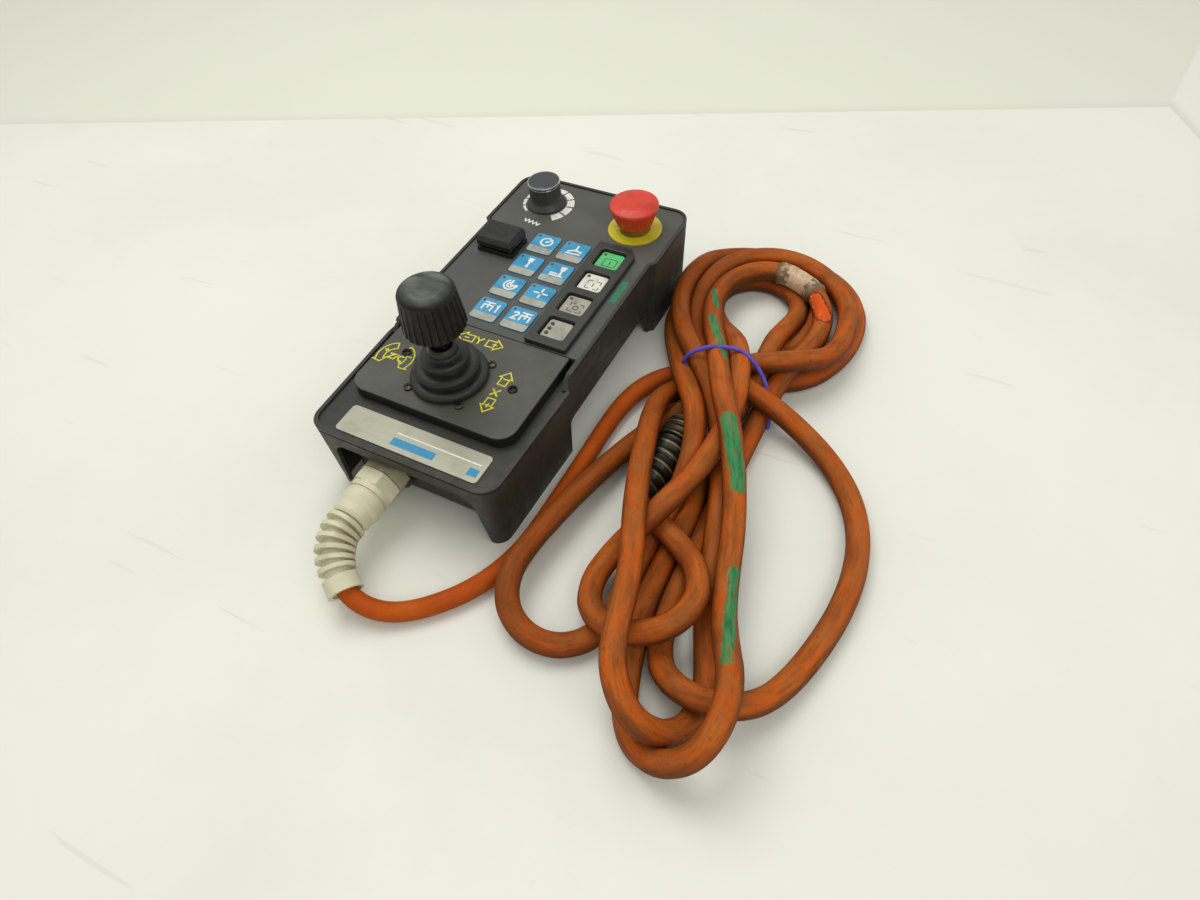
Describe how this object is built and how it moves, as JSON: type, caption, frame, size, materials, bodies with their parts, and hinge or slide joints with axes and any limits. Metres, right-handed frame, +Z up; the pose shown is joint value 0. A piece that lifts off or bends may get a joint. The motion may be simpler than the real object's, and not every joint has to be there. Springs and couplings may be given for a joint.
{
  "type": "coordinate measuring machine hand controller",
  "caption": "Hand console for driving a measuring machine: tilting and twisting joystick, keypad, speed knob, hold-to-run key, stop button and coiled cable with a round plug.",
  "frame": {"origin": "on the floor under the centre of the console", "axes": "+Z up, +Y along the console away from its cable, +X to the right seen from the cable end"},
  "size_m": [0.3135, 0.3776, 0.124],
  "materials": {
    "console_black": "fine moulded grain",
    "tray_black": "moulded",
    "film_grey": "printed film",
    "bezel_black": "moulded",
    "key_blue": "printed keys",
    "key_green": "moulded",
    "key_white": "moulded",
    "key_grey": "moulded",
    "lamp": "moulded lens",
    "screw_steel": "blackened",
    "board_green": "solder mask",
    "component_black": "moulded",
    "post_grey": "moulded",
    "hold_black": "moulded",
    "stop_red": "moulded",
    "stop_yellow": "printed disc",
    "nut_metal": "plated",
    "knob_dark": "moulded",
    "knob_cap": "moulded",
    "shaft_metal": "turned",
    "plate_black": "satin",
    "boot_rubber": "moulded bellows",
    "stick_knob": "worn grip",
    "label_silver": "brushed, printed",
    "gland_grey": "moulded",
    "cord_orange": "worn jacket",
    "tie_purple": "woven",
    "plug_dark": "worn",
    "plug_brass": "worn"
  },
  "bodies": {
    "console": {"top_housing": "console_black", "bottom_tray": "tray_black", "tray_screws": "screw_steel", "keypad_film": "film_grey", "key_bezel": "bezel_black", "indicator_plate": "key_grey", "indicator_lamps": "lamp", "keypad_board": "board_green", "board_standoffs": "post_grey", "board_screws": "screw_steel", "key_switches": "component_black", "main_board": "board_green", "board_components": "component_black", "main_board_screws": "screw_steel", "hold_frame": "hold_black", "hold_bracket": "nut_metal", "hold_switch": "component_black", "stop_ring": "stop_yellow", "stop_collar": "component_black", "stop_nut": "nut_metal", "stop_contact_block": "component_black", "speed_pot": "nut_metal", "speed_nut": "nut_metal", "joystick_plate": "plate_black", "joystick_screws": "screw_steel", "plate_screws": "screw_steel", "joystick_base": "component_black", "joystick_cover": "component_black", "joystick_boot": "boot_rubber", "label_plate": "label_silver", "gland_body": "gland_grey", "gland_lock_nut": "gland_grey", "gland_nut": "gland_grey", "bend_relief": "gland_grey", "cord_lead": "cord_orange", "cord_hank": "cord_orange", "cord_tie": "tie_purple", "connector_shell": "plug_dark", "connector_backshell": "plug_dark"},
    "gimbal": {"gimbal_ring": "shaft_metal"},
    "stick": {"joystick_shaft": "shaft_metal"},
    "stick_grip": {"joystick_knob": "stick_knob"},
    "speed": {"speed_shaft": "shaft_metal", "speed_knob": "knob_dark", "speed_cap": "knob_cap"},
    "stop_push": {"stop_plunger": "stop_red"},
    "stop_cap": {"stop_head": "stop_red"},
    "hold": {"hold_key": "hold_black"},
    "plug_ring": {"connector_ring": "plug_brass"},
    "key_body_1": {"key_1": "key_blue"},
    "key_body_2": {"key_2": "key_blue"},
    "key_body_3": {"key_3": "key_blue"},
    "key_body_4": {"key_4": "key_blue"},
    "key_body_5": {"key_5": "key_blue"},
    "key_body_6": {"key_6": "key_blue"},
    "key_body_7": {"key_7": "key_blue"},
    "key_body_8": {"key_8": "key_blue"},
    "function_body_green": {"function_key_green": "key_green"},
    "function_body_white": {"function_key_white": "key_white"},
    "function_body_grey": {"function_key_grey": "key_grey"}
  },
  "joints": [
    {"name": "stick_tilt_fore_aft", "type": "hinge", "parent": "console", "child": "gimbal", "pos_m": [-0.002, -0.066, 0.042], "axis": [1, 0, 0], "range_deg": [-15, 15], "stiffness_Nm_per_rad": 0.4, "deforming": ["joystick_boot"]},
    {"name": "stick_tilt_sideways", "type": "hinge", "parent": "gimbal", "child": "stick", "pos_m": [-0.002, -0.066, 0.042], "axis": [0, 1, 0], "range_deg": [-15, 15], "stiffness_Nm_per_rad": 0.4, "deforming": ["joystick_boot"]},
    {"name": "stick_twist", "type": "hinge", "parent": "stick", "child": "stick_grip", "pos_m": [-0.002, -0.066, 0.11], "axis": [0, 0, 1], "range_deg": [-20, 20], "stiffness_Nm_per_rad": 0.1},
    {"name": "speed_turn", "type": "hinge", "parent": "console", "child": "speed", "pos_m": [-0.0336, 0.0996, 0.07], "axis": [0, 0, 1], "range_deg": [-150, 150]},
    {"name": "stop_press", "type": "slide", "parent": "console", "child": "stop_push", "axis": [0, 0, -1], "range_m": [0, 0.004], "stiffness_N_per_m": 2500},
    {"name": "stop_twist", "type": "hinge", "parent": "stop_push", "child": "stop_cap", "pos_m": [0.0353, 0.0967, 0.07], "axis": [0, 0, 1], "range_deg": [-45, 0], "stiffness_Nm_per_rad": 0.1},
    {"name": "hold_press", "type": "slide", "parent": "console", "child": "hold", "axis": [0, 0, -1], "range_m": [0, 0.0014], "stiffness_N_per_m": 2000},
    {"name": "plug_ring_turn", "type": "hinge", "parent": "console", "child": "plug_ring", "pos_m": [0.117, -0.052, 0.0134], "axis": [0.1191, 0.9929, 0], "range_deg": [0, 90]},
    {"name": "key_1_press", "type": "slide", "parent": "console", "child": "key_body_1", "axis": [0, 0, -1], "range_m": [0, 0.0005], "stiffness_N_per_m": 1500},
    {"name": "key_2_press", "type": "slide", "parent": "console", "child": "key_body_2", "axis": [0, 0, -1], "range_m": [0, 0.0005], "stiffness_N_per_m": 1500},
    {"name": "key_3_press", "type": "slide", "parent": "console", "child": "key_body_3", "axis": [0, 0, -1], "range_m": [0, 0.0005], "stiffness_N_per_m": 1500},
    {"name": "key_4_press", "type": "slide", "parent": "console", "child": "key_body_4", "axis": [0, 0, -1], "range_m": [0, 0.0005], "stiffness_N_per_m": 1500},
    {"name": "key_5_press", "type": "slide", "parent": "console", "child": "key_body_5", "axis": [0, 0, -1], "range_m": [0, 0.0005], "stiffness_N_per_m": 1500},
    {"name": "key_6_press", "type": "slide", "parent": "console", "child": "key_body_6", "axis": [0, 0, -1], "range_m": [0, 0.0005], "stiffness_N_per_m": 1500},
    {"name": "key_7_press", "type": "slide", "parent": "console", "child": "key_body_7", "axis": [0, 0, -1], "range_m": [0, 0.0005], "stiffness_N_per_m": 1500},
    {"name": "key_8_press", "type": "slide", "parent": "console", "child": "key_body_8", "axis": [0, 0, -1], "range_m": [0, 0.0005], "stiffness_N_per_m": 1500},
    {"name": "function_green_press", "type": "slide", "parent": "console", "child": "function_body_green", "axis": [0, 0, -1], "range_m": [0, 0.001], "stiffness_N_per_m": 1500},
    {"name": "function_white_press", "type": "slide", "parent": "console", "child": "function_body_white", "axis": [0, 0, -1], "range_m": [0, 0.001], "stiffness_N_per_m": 1500},
    {"name": "function_grey_press", "type": "slide", "parent": "console", "child": "function_body_grey", "axis": [0, 0, -1], "range_m": [0, 0.001], "stiffness_N_per_m": 1500}
  ]
}
